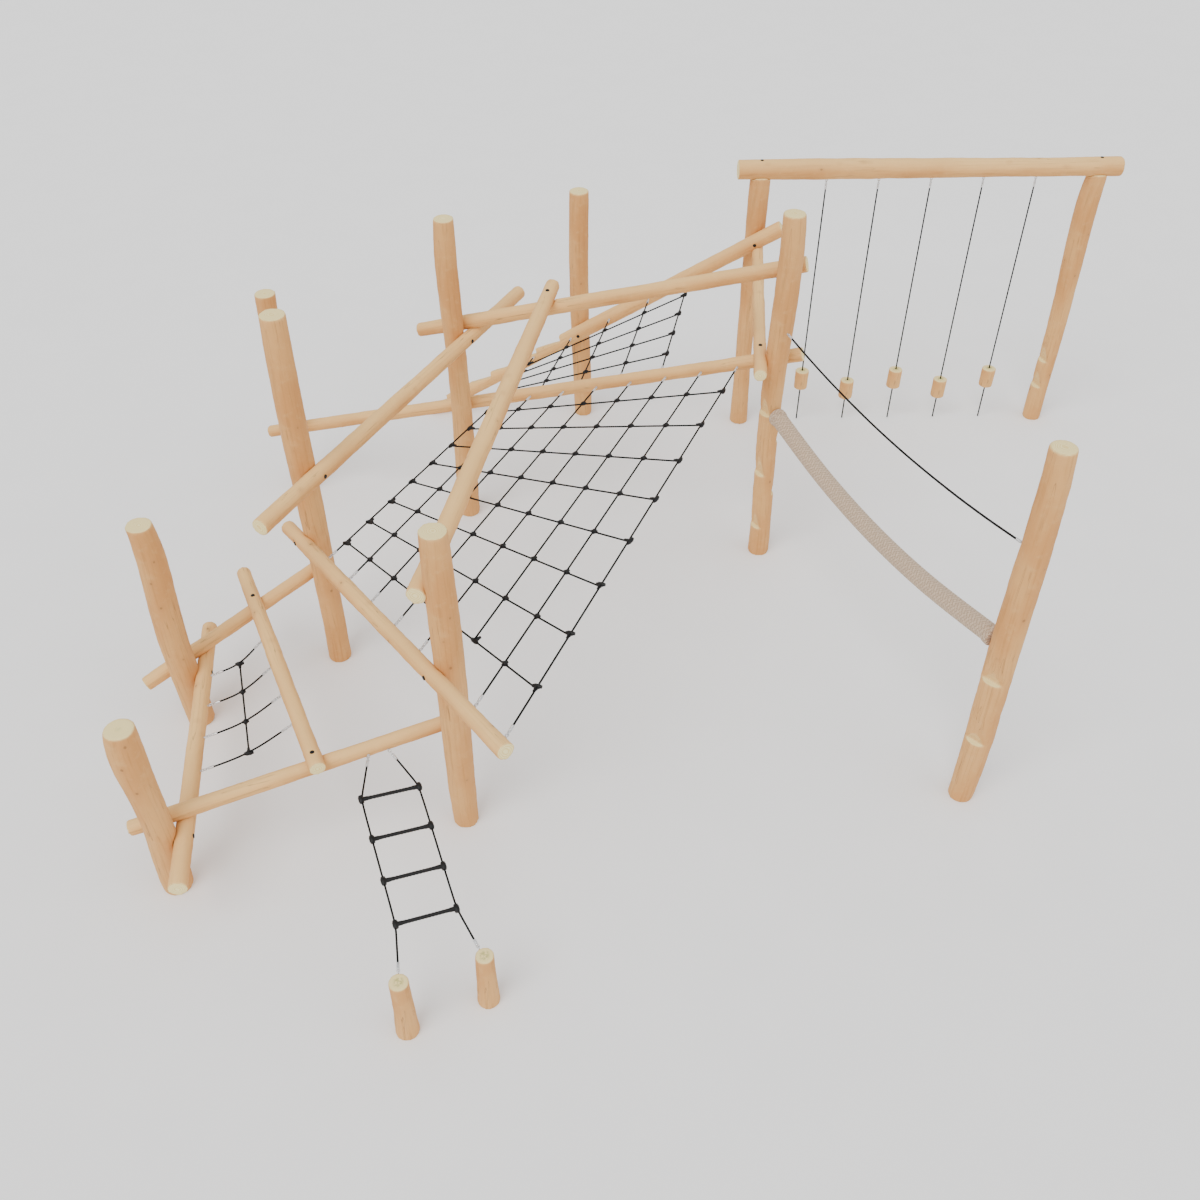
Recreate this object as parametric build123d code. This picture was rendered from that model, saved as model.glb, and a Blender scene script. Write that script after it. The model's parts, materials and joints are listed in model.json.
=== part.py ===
from build123d import *
import math
import os

# Rope climbing course of peeled logs: upright posts, cross logs, three rope nets,
# a rope ladder, five hanging step ropes, a thick balance rope and its hand rope.
# Millimetres, +Z up, standing on Z = 0.

# ---------------------------------------------------------------- overall sizes
PLAN_LENGTH = 8830      # X, post P2 to post P9, axis to axis
PLAN_DEPTH = 8100       # Y, front stump to back row, axis to axis

# ---------------------------------------------------------------- logs
SADDLE = 30             # how deep crossing logs sit into each other
SADDLE_GAP = 0.5        # play left in a saddle
TOP_SADDLE = 40         # seat of the top log in its two posts

# post: place as a share of the plan, height, diameters and sideways bow, foot to top
POSTS = {
    "post_01": (0.029, 0.154, 1820, (230, 236, 222, 246, 216), (0, 8, 10, -8, 4)),
    "post_02": (0.000, 0.374, 2220, (236, 240, 244, 238, 210), (0, -20, -28, -4, -12)),
    "post_03": (0.127, 0.475, 3600, (214, 208, 222, 224, 204), (0, 6, -2, -12, -4)),
    "post_04": (0.032, 0.805, 2390, (214, 210, 214, 208, 204), (0, 10, 4, -6, 0)),
    "post_05": (0.247, 0.754, 3350, (214, 220, 200, 208, 186), (0, 2, 4, -14, -6)),
    "post_06": (0.385, 1.000, 2770, (204, 212, 216, 216, 208), (0, -14, -30, -32, -22)),
    "post_07": (0.5975, 0.978, 3010, (212, 184, 190, 208, 216), (0, -8, -10, -6, 4)),
    "post_08": (0.5966, 0.672, 3695, (214, 202, 206, 218, 202), (0, -20, -32, -4, -6)),
    "post_09": (1.000, 0.988, 3010, (202, 200, 206, 226, 206), (0, 4, 0, -26, -8)),
    "post_10": (0.755, 0.267, 3550, (206, 230, 232, 220, 190), (0, 12, 2, 4, -18)),
    "post_11": (0.282, 0.234, 3060, (206, 226, 232, 228, 202), (0, -4, 4, 4, -4)),
    "stump_12": (0.252, 0.000, 640, (176, 152, 142), (0, 4, 2)),
    "stump_13": (0.316, 0.030, 580, (172, 148, 136), (0, 0, 4)),
}

# side log: first post, second post, side seen walking from first to second,
# axis height at each, diameter at each end, overhang before and after
SIDE_LOGS = {
    "beam_01": ("post_01", "post_11", "left", 650, 1059, 124, 126, 240, 60),
    "beam_02": ("post_02", "post_03", "left", 587, 1015, 130, 126, 330, 60),
    "beam_03": ("post_01", "post_02", "right", 568, 550, 146, 134, 485, 620),
    "beam_05": ("post_03", "post_05", "right", 2163, 2140, 150, 136, 800, 1110),
    "beam_06": ("post_05", "post_08", "left", 2210, 3127, 136, 146, 425, 160),
    "beam_07": ("post_05", "post_08", "left", 1297, 2213, 128, 134, 2380, 240),
    "beam_09": ("post_03", "post_11", "right", 1463, 1790, 126, 134, 310, 1070),
    "beam_10": ("post_06", "post_07", "right", 1160, 2340, 168, 162, 2700, 330),
}
BEAM_04_D = 130
BEAM_04_OVER_02 = 0.55      # share of the span of beam 2 and beam 1 where beam 4 lies
BEAM_04_OVER_01 = 0.525
BEAM_04_ENDS = (445, 130)
BEAM_08_D = 150
BEAM_08_OVER_06 = 0.292
BEAM_08_HEIGHT = 2520       # at post 11
BEAM_08_ENDS = (75, 230)
BEAM_11_D = 124
BEAM_11_SADDLE = 10         # shallow seat against post 8
BEAM_11_OVER_07 = 0.955
BEAM_11_UNDER_10 = 1.02
BEAM_11_ENDS = (290, 40)
TOP_LOG_D = (196, 206, 190, 198)
TOP_LOG_Z = 3068
TOP_LOG_ENDS = (245, 225)

# step notches: post, height of the ledge, side the ledge looks to (degrees from +X)
STEP_DEPTH = 54
STEP_RUNOUT = 290
POST_STEPS = (
    ("post_08", 350, 210), ("post_08", 745, 20), ("post_08", 1005, 210),
    ("post_08", 1375, 20), ("post_08", 1705, 210),
    ("post_10", 722, 225), ("post_10", 1010, 20), ("post_10", 1405, 225),
    ("post_09", 445, 200), ("post_09", 780, 197),
)
RAMP_STEPS = 6
RAMP_FIRST = -0.10          # highest riser, share of the span of beam 10
RAMP_STEP_RUN = 325         # riser to riser
RAMP_STEP_DEPTH = 75        # of a tread at the foot of its riser
RAMP_STEP_END = 15          # of a tread where the next riser drops
RAMP_STEP_LEAN = 20         # degrees that the treads lean away from the nets

# ---------------------------------------------------------------- bolts
BOLT_D = 16
BOLT_HOLE_PLAY = 0.5        # on the diameter
BOLT_BITE = 90              # thread beyond the seat of the inner log
CAP_D = 36
CAP_T = 12
CAP_PROUD = 4

# ---------------------------------------------------------------- ropes and fittings
ROPE_D = 16
HAND_ROPE_D = 18
BALANCE_D = 155
EYE_R = 12                  # ring of an eye screw, to the wire's middle
EYE_WIRE = 8
EYE_SHANK_D = 10
EYE_BITE = 45
EYE_STANDOFF = 19           # ring middle above the wood
LINK_R = 10
LINK_LENGTH = 31            # between the middles of the link's end wires
LINK_WIRE = 7
RING_R = 10                 # ring on a rope end
RING_WIRE = 7
PLAY = 0.3                  # between wires that hang in each other
HAND_PLAY = 1.6             # the same at the hand rope, whose rings swing over the eyes
FERRULE_D = 24
FERRULE_L = 46
BALL_D = 44                 # net crossing connector
TEE_D = 38
TEE_L = 76
TEE_ARM_D = 30
TEE_ARM_L = 58

NET1_COUNT = 8              # long ropes
NET1_ROWS = 8
NET1_ON_07 = (0.125, 0.887)     # first and last rope, share of the span of beam 7
NET1_ON_09 = (0.192, 1.413)
NET1_ROW_PITCH = 0.113          # share of a long rope
NET1_SHORT_ROPE = 5             # this one stops at the first row, behind post 11
NET2_COUNT = 5
NET2_ROWS = 4
NET2_ON_07 = (0.120, 0.645)
NET2_ON_10 = (-0.270, 0.650)
NET2_ROW_FIRST = 0.205
NET2_ROW_PITCH = 0.198
NET3_COUNT = 4
NET3_ON_03 = (0.965, 0.355)     # share of the span of beam 3
NET3_ON_04 = (0.248, 0.783)     # share of the span of beam 4
NET3_SAG = 85

LADDER_WIDTH = 446
LADDER_FIRST = 0.230            # first and last rung, share of the way down
LADDER_LAST = 0.775
LADDER_RUNGS = 4
LADDER_ON_01 = 0.735            # share of the span of beam 1
LADDER_HOOKS = 110              # apart on the log
RUNG_D = 30
CLAMP_D = 44
CLAMP_L = 62

SWING_COUNT = 5
SWING_FIRST = 695               # from the axis of post 7
SWING_PITCH = 551
SWING_FLOOR_GAP = 12
BLOCK_D = 155
BLOCK_H = 226
BLOCK_LOW = 308                 # underside above the ground, every second one
BLOCK_HIGH = 446

BALANCE_Z = (1725, 1715)        # at post 8 and at post 10
BALANCE_SAG = 180
BALANCE_RUNS = 6
BALANCE_GAP = 14                # bare pin between the post and the collar
COLLAR_D = 172
COLLAR_L = 64
PIN_D = 20
PIN_PLAY = 0.1                  # on the diameter
HAND_Z = (2595, 2640)
HAND_LEAVE = 0.14               # drop of a sleeve, share of its run
HAND_ROUTE = (                  # share of the way from sleeve to sleeve, drop below it
    (0, 0), (0.07, 32), (0.14, 59), (0.21, 81), (0.28, 98), (0.36, 112), (0.43, 120),
    (0.50, 122), (0.57, 120), (0.64, 112), (0.72, 98), (0.79, 81), (0.86, 59),
    (0.93, 32), (1, 0),
)

ARC_SHARE = 0.45


# ---------------------------------------------------------------- small helpers
def unit(v):
    return v / v.length


def flat(v):
    return Vector(v.X, v.Y, 0)


def left_of(v):
    return unit(Vector(-v.Y, v.X, 0))


def rod(a, b, diameter):
    """Straight round bar from a to b."""
    run = b - a
    return Solid.make_cylinder(diameter / 2, run.length, Plane(origin=a, z_dir=run))


def ring(centre, normal, radius, wire):
    return Solid.make_torus(radius, wire / 2, Plane(origin=centre, z_dir=normal))


def round_log(points, diameters, direction):
    """Log through circles of the given diameters, all square to one direction."""
    sections = []
    for p, d in zip(points, diameters):
        sections.append(Plane(origin=p, z_dir=direction) * Circle(d / 2))
    return loft(sections).solid()


def steady(values, share):
    """Value at a share 0..1 of an evenly spaced list, straight between entries."""
    place = min(max(share, 0), 1) * (len(values) - 1)
    i = min(int(place), len(values) - 2)
    return values[i] + (values[i + 1] - values[i]) * (place - i)


def tangent_tube(points, diameter, name):
    """Rope of straight runs joined by arcs as large as the runs allow."""
    radii = []
    for before, here, after in zip(points, points[1:], points[2:]):
        turn = math.radians((here - before).get_angle(after - here))
        shorter = min((here - before).length, (after - here).length)
        radii.append(ARC_SHARE * shorter / math.tan(turn / 2))
    path = FilletPolyline(*points, radius=radii)
    section = Plane(origin=points[0], z_dir=points[1] - points[0]) * Circle(diameter / 2)
    tube = sweep(section, path=path).solid()
    length = path.length
    print(name, "length", round(length), "arc radii", [round(r) for r in radii],
          "volume ratio", round(tube.volume / (length * math.pi * diameter**2 / 4), 4))
    return tube


def hanging_points(a, b, sag, runs):
    """Points of a sagging line from a to b."""
    points = []
    for i in range(runs + 1):
        t = i / runs
        points.append(a + (b - a) * t - Vector(0, 0, 4 * sag * t * (1 - t)))
    return points


# ---------------------------------------------------------------- logs as axes
class Post:
    def __init__(self, x_share, y_share, height, diameters, bow):
        self.x = (x_share - 0.5) * PLAN_LENGTH
        self.y = (y_share - 0.5) * PLAN_DEPTH
        self.height = height
        self.diameters = diameters
        self.bow = bow

    def at(self, z):
        return Vector(self.x + steady(self.bow, z / self.height), self.y, z)

    def radius(self, z):
        return steady(self.diameters, z / self.height) / 2

    def solid(self):
        steps = len(self.diameters) - 1
        heights = [self.height * i / steps for i in range(steps + 1)]
        points = [self.at(z) for z in heights]
        return round_log(points, self.diameters, Vector(0, 0, 1))


class Beam:
    """Straight log through two contacts, with an overhang at each end."""

    def __init__(self, contact_a, contact_b, diameters, before, after):
        self.a = contact_a
        self.b = contact_b
        self.way = unit(contact_b - contact_a)
        self.start = contact_a - self.way * before
        self.end = contact_b + self.way * after
        self.diameters = diameters

    def at(self, share):
        return self.a + (self.b - self.a) * share

    def radius(self, share):
        along = (self.at(share) - self.start).length / (self.end - self.start).length
        return steady(self.diameters, along) / 2

    def solid(self, grow=0):
        steps = len(self.diameters) - 1
        points = []
        for i in range(steps + 1):
            points.append(self.start + (self.end - self.start) * (i / steps))
        return round_log(points, [d + grow for d in self.diameters], self.way)


def beside(posts, first, second, side, z_first, z_second, d_first, d_second, before, after):
    """Beam that runs along one side of two posts."""
    p, q = posts[first], posts[second]
    a, b = p.at(z_first), q.at(z_second)
    turn = 1 if side == "left" else -1
    out = left_of(b - a) * turn
    a = a + out * (p.radius(z_first) + d_first / 2 - SADDLE)
    b = b + out * (q.radius(z_second) + d_second / 2 - SADDLE)
    middle = (d_first + d_second) / 2
    return Beam(a, b, (d_first, middle + 3, middle - 2, d_second), before, after)


def lay_out():
    posts = {}
    for name, values in POSTS.items():
        posts[name] = Post(*values)
    beams = {}
    for name, values in SIDE_LOGS.items():
        beams[name] = beside(posts, *values)

    def rest_on(lower, share, diameter):
        lift = lower.radius(share) + diameter / 2 - SADDLE
        return lower.at(share) + Vector(0, 0, lift)

    beams["beam_04"] = Beam(
        rest_on(beams["beam_02"], BEAM_04_OVER_02, BEAM_04_D),
        rest_on(beams["beam_01"], BEAM_04_OVER_01, BEAM_04_D),
        (BEAM_04_D - 6, BEAM_04_D + 2, BEAM_04_D), *BEAM_04_ENDS)

    far = rest_on(beams["beam_06"], BEAM_08_OVER_06, BEAM_08_D)
    post = posts["post_11"]
    near = post.at(BEAM_08_HEIGHT)
    reach = post.radius(BEAM_08_HEIGHT) + BEAM_08_D / 2 - SADDLE
    near = near + left_of(far - near) * reach
    beams["beam_08"] = Beam(near, far, (BEAM_08_D, BEAM_08_D + 4, BEAM_08_D - 8), *BEAM_08_ENDS)

    post = posts["post_08"]
    height = rest_on(beams["beam_07"], BEAM_11_OVER_07, BEAM_11_D).Z
    drop = beams["beam_10"].radius(BEAM_11_UNDER_10) + BEAM_11_D / 2 - SADDLE
    under = beams["beam_10"].at(BEAM_11_UNDER_10) - Vector(0, 0, drop)
    near = post.at(height)
    reach = post.radius(height) + BEAM_11_D / 2 - BEAM_11_SADDLE
    near = near + left_of(under - near) * reach
    beams["beam_11"] = Beam(near, under, (BEAM_11_D, BEAM_11_D - 4), *BEAM_11_ENDS)

    a = posts["post_07"].at(posts["post_07"].height)
    b = posts["post_09"].at(posts["post_09"].height)
    beams["beam_12"] = Beam(Vector(a.X, a.Y, TOP_LOG_Z), Vector(b.X, b.Y, TOP_LOG_Z),
                            TOP_LOG_D, *TOP_LOG_ENDS)
    return posts, beams


# ---------------------------------------------------------------- timber
def step_cutter(post, height, facing):
    """Wedge that leaves a level ledge looking one way, running out above it."""
    out = Vector(math.cos(math.radians(facing)), math.sin(math.radians(facing)), 0)
    up = Vector(0, 0, 1)
    middle = post.at(height)
    radius = post.radius(height)
    inner = radius - STEP_DEPTH
    outer = radius + STEP_DEPTH
    face = Plane(origin=middle, x_dir=out, z_dir=out.cross(up))
    outline = Polyline((inner, 0), (outer, 0), (outer, 2 * STEP_RUNOUT), close=True)
    return extrude(face * make_face(outline), radius * 1.5, both=True)


def ramp_cutter(beam, number):
    """Riser square to the log and the tread below it, cut into the log's upper side."""
    down = beam.way * -1
    upright = unit(Vector(0, 0, 1) - beam.way * beam.way.Z)
    lean = math.radians(RAMP_STEP_LEAN)
    over = upright * math.cos(lean) - beam.way.cross(upright) * math.sin(lean)
    share = RAMP_FIRST - number * RAMP_STEP_RUN / (beam.b - beam.a).length
    radius = beam.radius(share)
    foot, end, clear = radius - RAMP_STEP_DEPTH, radius - RAMP_STEP_END, 2 * radius
    face = Plane(origin=beam.at(share), x_dir=down, z_dir=down.cross(over))
    run = RAMP_STEP_RUN
    outline = Polyline((0, foot), (run, end), (run, clear), (0, clear), close=True)
    return extrude(face * make_face(outline), radius * 1.2, both=True)


def saddle_pairs():
    """Which log is hollowed to seat which."""
    pairs = []
    for name, values in SIDE_LOGS.items():
        pairs.append((values[0], name))
        pairs.append((values[1], name))
    pairs += [
        ("beam_03", "beam_01"), ("beam_03", "beam_02"), ("beam_02", "beam_04"),
        ("beam_01", "beam_04"), ("beam_05", "beam_06"), ("beam_06", "beam_08"),
        ("post_11", "beam_08"), ("beam_07", "beam_11"), ("post_08", "beam_11"),
        ("beam_11", "beam_10"), ("post_07", "beam_12"), ("post_09", "beam_12"),
        ("post_04", "beam_07"),
    ]
    return pairs


def bolt_list(posts, beams):
    """Outer log, inner log, point on the outer axis, way the bolt goes in."""
    bolts = []
    for name, values in SIDE_LOGS.items():
        beam = beams[name]
        inward = left_of(beam.way) * (-1 if values[2] == "left" else 1)
        bolts.append((name, values[0], beam.a, inward))
        bolts.append((name, values[1], beam.b, inward))
    down = Vector(0, 0, -1)
    bolts.append(("beam_04", "beam_02", beams["beam_04"].a, down))
    bolts.append(("beam_04", "beam_01", beams["beam_04"].b, down))
    bolts.append(("beam_08", "beam_06", beams["beam_08"].b, down))
    bolts.append(("beam_08", "post_11", beams["beam_08"].a, left_of(beams["beam_08"].way) * -1))
    bolts.append(("beam_12", "post_07", beams["beam_12"].a, down))
    bolts.append(("beam_12", "post_09", beams["beam_12"].b, down))
    bolts.append(("beam_11", "beam_07", crossing(beams["beam_11"], beams["beam_07"]), down))
    bolts.append(("beam_11", "beam_10", beams["beam_11"].b, Vector(0, 0, 1)))
    seven, post = beams["beam_07"], posts["post_04"]
    inward = left_of(seven.way) * -1
    share = (flat(post.at(0)) - flat(seven.a)).dot(flat(seven.way)) / flat(seven.b - seven.a).length
    share = share / flat(seven.way).length
    bolts.append(("beam_07", "post_04", seven.at(share), inward))
    return bolts


def crossing(beam, other):
    """Point of beam's axis where it crosses the other one in plan."""
    gap = other.a - beam.a
    across = left_of(other.way)
    return beam.a + beam.way * (gap.dot(across) / beam.way.dot(across))


def bolt_parts(beams, outer, start, way):
    """Rod, cap, hole through both logs and the cap's seat."""
    beam = beams[outer]
    share = (start - beam.a).dot(beam.way) / (beam.b - beam.a).length
    radius = beam.radius(share)
    skin = start - way * (radius / way.cross(beam.way).length)
    cap_out = skin - way * CAP_PROUD
    cap_in = cap_out + way * CAP_T
    tip = start + way * (radius + BOLT_BITE)
    bolt = rod(cap_in, tip, BOLT_D)
    cap = rod(cap_out, cap_in, CAP_D)
    hole = rod(cap_in - way, tip + way, BOLT_D + BOLT_HOLE_PLAY)
    seat = rod(skin - way * CAP_D, cap_in, CAP_D + BOLT_HOLE_PLAY)
    return bolt, cap, hole, seat


def timber(posts, beams, eye_holes):
    """Every log with its saddles, holes and steps."""
    logs = {}
    for name, post in posts.items():
        logs[name] = post.solid()
    for name, beam in beams.items():
        logs[name] = beam.solid()
    cuts = {name: [] for name in logs}
    for inner, outer in saddle_pairs():
        cuts[inner].append(beams[outer].solid(grow=2 * SADDLE_GAP))
    for post, height, facing in POST_STEPS:
        cuts[post].append(step_cutter(posts[post], height, facing))
    for number in range(RAMP_STEPS):
        cuts["beam_10"].append(ramp_cutter(beams["beam_10"], number))
    ground = Box(2 * PLAN_LENGTH, 2 * PLAN_DEPTH, 2000, align=(Align.CENTER, Align.CENTER, Align.MAX))
    cuts["beam_10"].append(ground)
    rods, caps = [], []
    for outer, inner, start, way in bolt_list(posts, beams):
        bolt, cap, hole, seat = bolt_parts(beams, outer, start, way)
        rods.append(bolt)
        caps.append(cap)
        cuts[outer] += [hole, seat]
        cuts[inner].append(hole)
    for name, hole in eye_holes:
        cuts[name].append(hole)
    for name in logs:
        for cutter in cuts[name]:
            logs[name] = logs[name] - cutter
        solids = logs[name].solids()
        logs[name] = max(solids, key=lambda s: s.volume)
        if len(solids) > 1:
            print(name, "fell into", [round(s.volume) for s in solids])
    return logs, rods, caps


# ---------------------------------------------------------------- steel fittings
def chain_link(near, way, normal):
    """Long link: two half rings and two straight sides, its near wire at near."""
    side = unit(normal.cross(way))
    first = near + way * LINK_R
    last = near + way * (LINK_LENGTH - LINK_R)
    slot = Plane(origin=(first + last) / 2, x_dir=way, z_dir=normal)
    path = slot * SlotCenterToCenter(LINK_LENGTH - 2 * LINK_R, 2 * LINK_R)
    section = Plane(origin=first + side * LINK_R, z_dir=way) * Circle(LINK_WIRE / 2)
    return sweep(section, path=path.wire()).solid()


class Hardware:
    """Eye screws, links and rope ends of the fixed ropes, and holes for the screws."""

    def __init__(self):
        self.eyes = []
        self.links = []
        self.ends = []
        self.holes = []

    def eye(self, name, axis_point, log_way, radius, way):
        """Eye screw in a log, looking along way; gives the middle of its far wire."""
        square = way.cross(log_way).length
        skin = axis_point + way * (radius / square)
        normal = unit(way.cross(log_way))
        middle = skin + way * (EYE_STANDOFF / square)
        shank = rod(skin - way * EYE_BITE, middle - way * EYE_R, EYE_SHANK_D)
        self.eyes.append((ring(middle, normal, EYE_R, EYE_WIRE) + shank).solid())
        self.holes.append((name, rod(skin - way * (EYE_BITE + 1), middle, EYE_SHANK_D + 0.5)))
        return middle + way * EYE_R, normal

    def hang(self, name, axis_point, log_way, radius, way, linked):
        """Eye, link if asked, and rope end; gives where the rope starts."""
        knuckle, normal = self.eye(name, axis_point, log_way, radius, way)
        wire = EYE_WIRE
        turned = unit(normal.cross(way))
        if linked:
            near = knuckle - way * ((EYE_WIRE + LINK_WIRE) / 2 + PLAY)
            self.links.append(chain_link(near, way, turned))
            knuckle = near + way * LINK_LENGTH
            wire = LINK_WIRE
            turned = normal
        end, start = rope_end(knuckle, way, turned, wire)
        self.ends.append(end)
        return start


def rope_end(knuckle, way, normal, wire, play=PLAY):
    """Ring and pressed sleeve that hang in a wire at knuckle."""
    near = knuckle - way * ((wire + RING_WIRE) / 2 + play)
    middle = near + way * RING_R
    far = near + way * 2 * RING_R
    sleeve_end = far + way * FERRULE_L
    solid = (ring(middle, normal, RING_R, RING_WIRE) + rod(far, sleeve_end, FERRULE_D)).solid()
    return solid, sleeve_end - way * (FERRULE_L / 3)


def on_beam(beam, share):
    return beam.at(share), beam.way, beam.radius(share)


def on_post(post, z):
    return post.at(z), Vector(0, 0, 1), post.radius(z)


# ---------------------------------------------------------------- nets
def tee(point, along, arm):
    body = rod(point - along * (TEE_L / 2), point + along * (TEE_L / 2), TEE_D)
    return (body + rod(point, point + arm * TEE_ARM_L, TEE_ARM_D)).solid()


def flat_net(hardware, first, second, count, first_ends, second_ends, rows, linked, short):
    """Long ropes from one log to another with straight cross ropes under them."""
    (first_name, first_beam), (second_name, second_beam) = first, second
    ropes, connectors, lines = [], [], []
    for i in range(count):
        t = i / (count - 1)
        share_a = first_ends[0] + (first_ends[1] - first_ends[0]) * t
        share_b = second_ends[0] + (second_ends[1] - second_ends[0]) * t
        a, b = first_beam.at(share_a), second_beam.at(share_b)
        lines.append((a, b))
        way = unit(b - a)
        stop = hardware.hang(second_name, b, second_beam.way, second_beam.radius(share_b),
                             way * -1, False)
        if i == short:
            start = a + (b - a) * rows[0]
        else:
            start = hardware.hang(first_name, a, first_beam.way,
                                  first_beam.radius(share_a), way, linked)
        ropes.append(rod(start, stop, ROPE_D))
    for row in rows:
        nodes = [a + (b - a) * row for a, b in lines]
        across = unit(nodes[-1] - nodes[0])
        along = unit((lines[0][1] - lines[0][0]) + (lines[-1][1] - lines[-1][0]))
        under = unit(along.cross(across))
        under = under * (-1 if under.Z > 0 else 1) * (ROPE_D + 1)
        ropes.append(rod(nodes[0] + under, nodes[-1] + under, ROPE_D))
        for i, node in enumerate(nodes):
            way = unit(lines[i][1] - lines[i][0])
            if i == 0:
                connectors.append(tee(node + under / 2, way, across))
            elif i == count - 1:
                connectors.append(tee(node + under / 2, way, across * -1))
            elif i == short and row == rows[0]:
                connectors.append(tee(node + under, across, way))
            else:
                connectors.append(Pos(node + under / 2) * Sphere(BALL_D / 2))
    return ropes, connectors


def sagging_net(hardware, beams):
    """Short slack ropes between beam 3 and beam 4 with one straight rope under them."""
    left, right = beams["beam_03"], beams["beam_04"]
    ropes, middles = [], []
    for i in range(NET3_COUNT):
        t = i / (NET3_COUNT - 1)
        share_a = NET3_ON_03[0] + (NET3_ON_03[1] - NET3_ON_03[0]) * t
        share_b = NET3_ON_04[0] + (NET3_ON_04[1] - NET3_ON_04[0]) * t
        a, b = left.at(share_a), right.at(share_b)
        drop = Vector(0, 0, -2.4 * NET3_SAG)
        start = hardware.hang("beam_03", *on_beam(left, share_a), unit((b - a) + drop), True)
        stop = hardware.hang("beam_04", *on_beam(right, share_b), unit((a - b) + drop), True)
        points = hanging_points(start, stop, NET3_SAG * 0.5, 4)
        ropes.append(tangent_tube(points, ROPE_D, "slack rope " + str(i + 1)))
        middles.append(points[2])
    return ropes, middles


def slack_net_spine(ropes, middles):
    """Straight rope that ties the slack ropes at their lowest points."""
    along = unit(middles[-1] - middles[0])
    under = Vector(0, 0, -(ROPE_D + 1))
    reach = (middles[-1] - middles[0]).length
    connectors = []
    for i, point in enumerate(middles):
        ends = (i == 0, i == len(middles) - 1)
        if ends[0] or ends[1]:
            arm = along if ends[0] else along * -1
            across = unit(flat(Vector(along.Y, -along.X, 0)))
            connectors.append(tee(point + under / 2, across, arm))
        else:
            connectors.append(Pos(point + under / 2) * Sphere(BALL_D / 2))
    spine = rod(middles[0] + under, middles[0] + under + along * reach, ROPE_D)
    return spine, connectors


# ---------------------------------------------------------------- ladder
def ladder(hardware, posts, beams):
    log = beams["beam_01"]
    span = (log.b - log.a).length
    stumps = (posts["stump_12"], posts["stump_13"])
    low = [stump.at(stump.height - 45) for stump in stumps]
    high = log.at(LADDER_ON_01)
    across = unit(low[1] - low[0])
    down = (low[0] + low[1]) / 2 - high
    centres = []
    for i in range(LADDER_RUNGS):
        share = LADDER_FIRST + (LADDER_LAST - LADDER_FIRST) * i / (LADDER_RUNGS - 1)
        centres.append(high + down * share)
    ropes, rungs = [], []
    for k, side in enumerate((-1, 1)):
        top = centres[0] + across * (side * LADDER_WIDTH / 2)
        bottom = centres[-1] + across * (side * LADDER_WIDTH / 2)
        share = LADDER_ON_01 + side * LADDER_HOOKS / 2 / span
        name = ("stump_12", "stump_13")[k]
        start = hardware.hang("beam_01", *on_beam(log, share), unit(top - log.at(share)), True)
        stop = hardware.hang(name, *on_post(stumps[k], stumps[k].height - 45),
                             unit(bottom - low[k]), False)
        path = FilletPolyline(start, top, bottom, stop, radius=60)
        section = Plane(origin=start, z_dir=top - start) * Circle(ROPE_D / 2)
        ropes.append(sweep(section, path=path).solid())
    along = unit(down)
    for centre in centres:
        ends = [centre + across * (side * LADDER_WIDTH / 2) for side in (-1, 1)]
        rung = rod(ends[0], ends[1], RUNG_D)
        for end in ends:
            rung = rung + rod(end - along * (CLAMP_L / 2), end + along * (CLAMP_L / 2), CLAMP_D)
        rungs.append(rung.solid())
    return ropes, rungs


# ---------------------------------------------------------------- hanging step ropes
def swings(hardware, beams):
    log = beams["beam_12"]
    down = Vector(0, 0, -1)
    parts = {}
    for i in range(SWING_COUNT):
        along = (SWING_FIRST + SWING_PITCH * i) / (log.b - log.a).length
        knuckle, normal = hardware.eye("beam_12", *on_beam(log, along), down)
        near = knuckle - down * ((EYE_WIRE + LINK_WIRE) / 2 + PLAY)
        turned = unit(normal.cross(down))
        lower = near + down * LINK_LENGTH
        end, start = rope_end(lower, down, normal, LINK_WIRE)
        foot = Vector(start.X, start.Y, SWING_FLOOR_GAP)
        base = BLOCK_HIGH if i % 2 == 0 else BLOCK_LOW
        seat = Vector(start.X, start.Y, base)
        top = Vector(start.X, start.Y, base + BLOCK_H)
        block = chamfer(rod(seat, top, BLOCK_D).edges(), 6)
        block = (block - rod(seat - Vector(0, 0, 5), top + Vector(0, 0, 5), ROPE_D)).solid()
        tag = "swing_" + str(i + 1)
        parts[tag + "_link"] = chain_link(near, down, turned)
        parts[tag + "_sleeve"] = end
        parts[tag + "_rope"] = rod(start, foot, ROPE_D)
        parts[tag + "_block"] = block
        print(tag, "pivots", spot(knuckle), spot(lower), "beam way", spot(log.way * 1000))
    return parts


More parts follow.
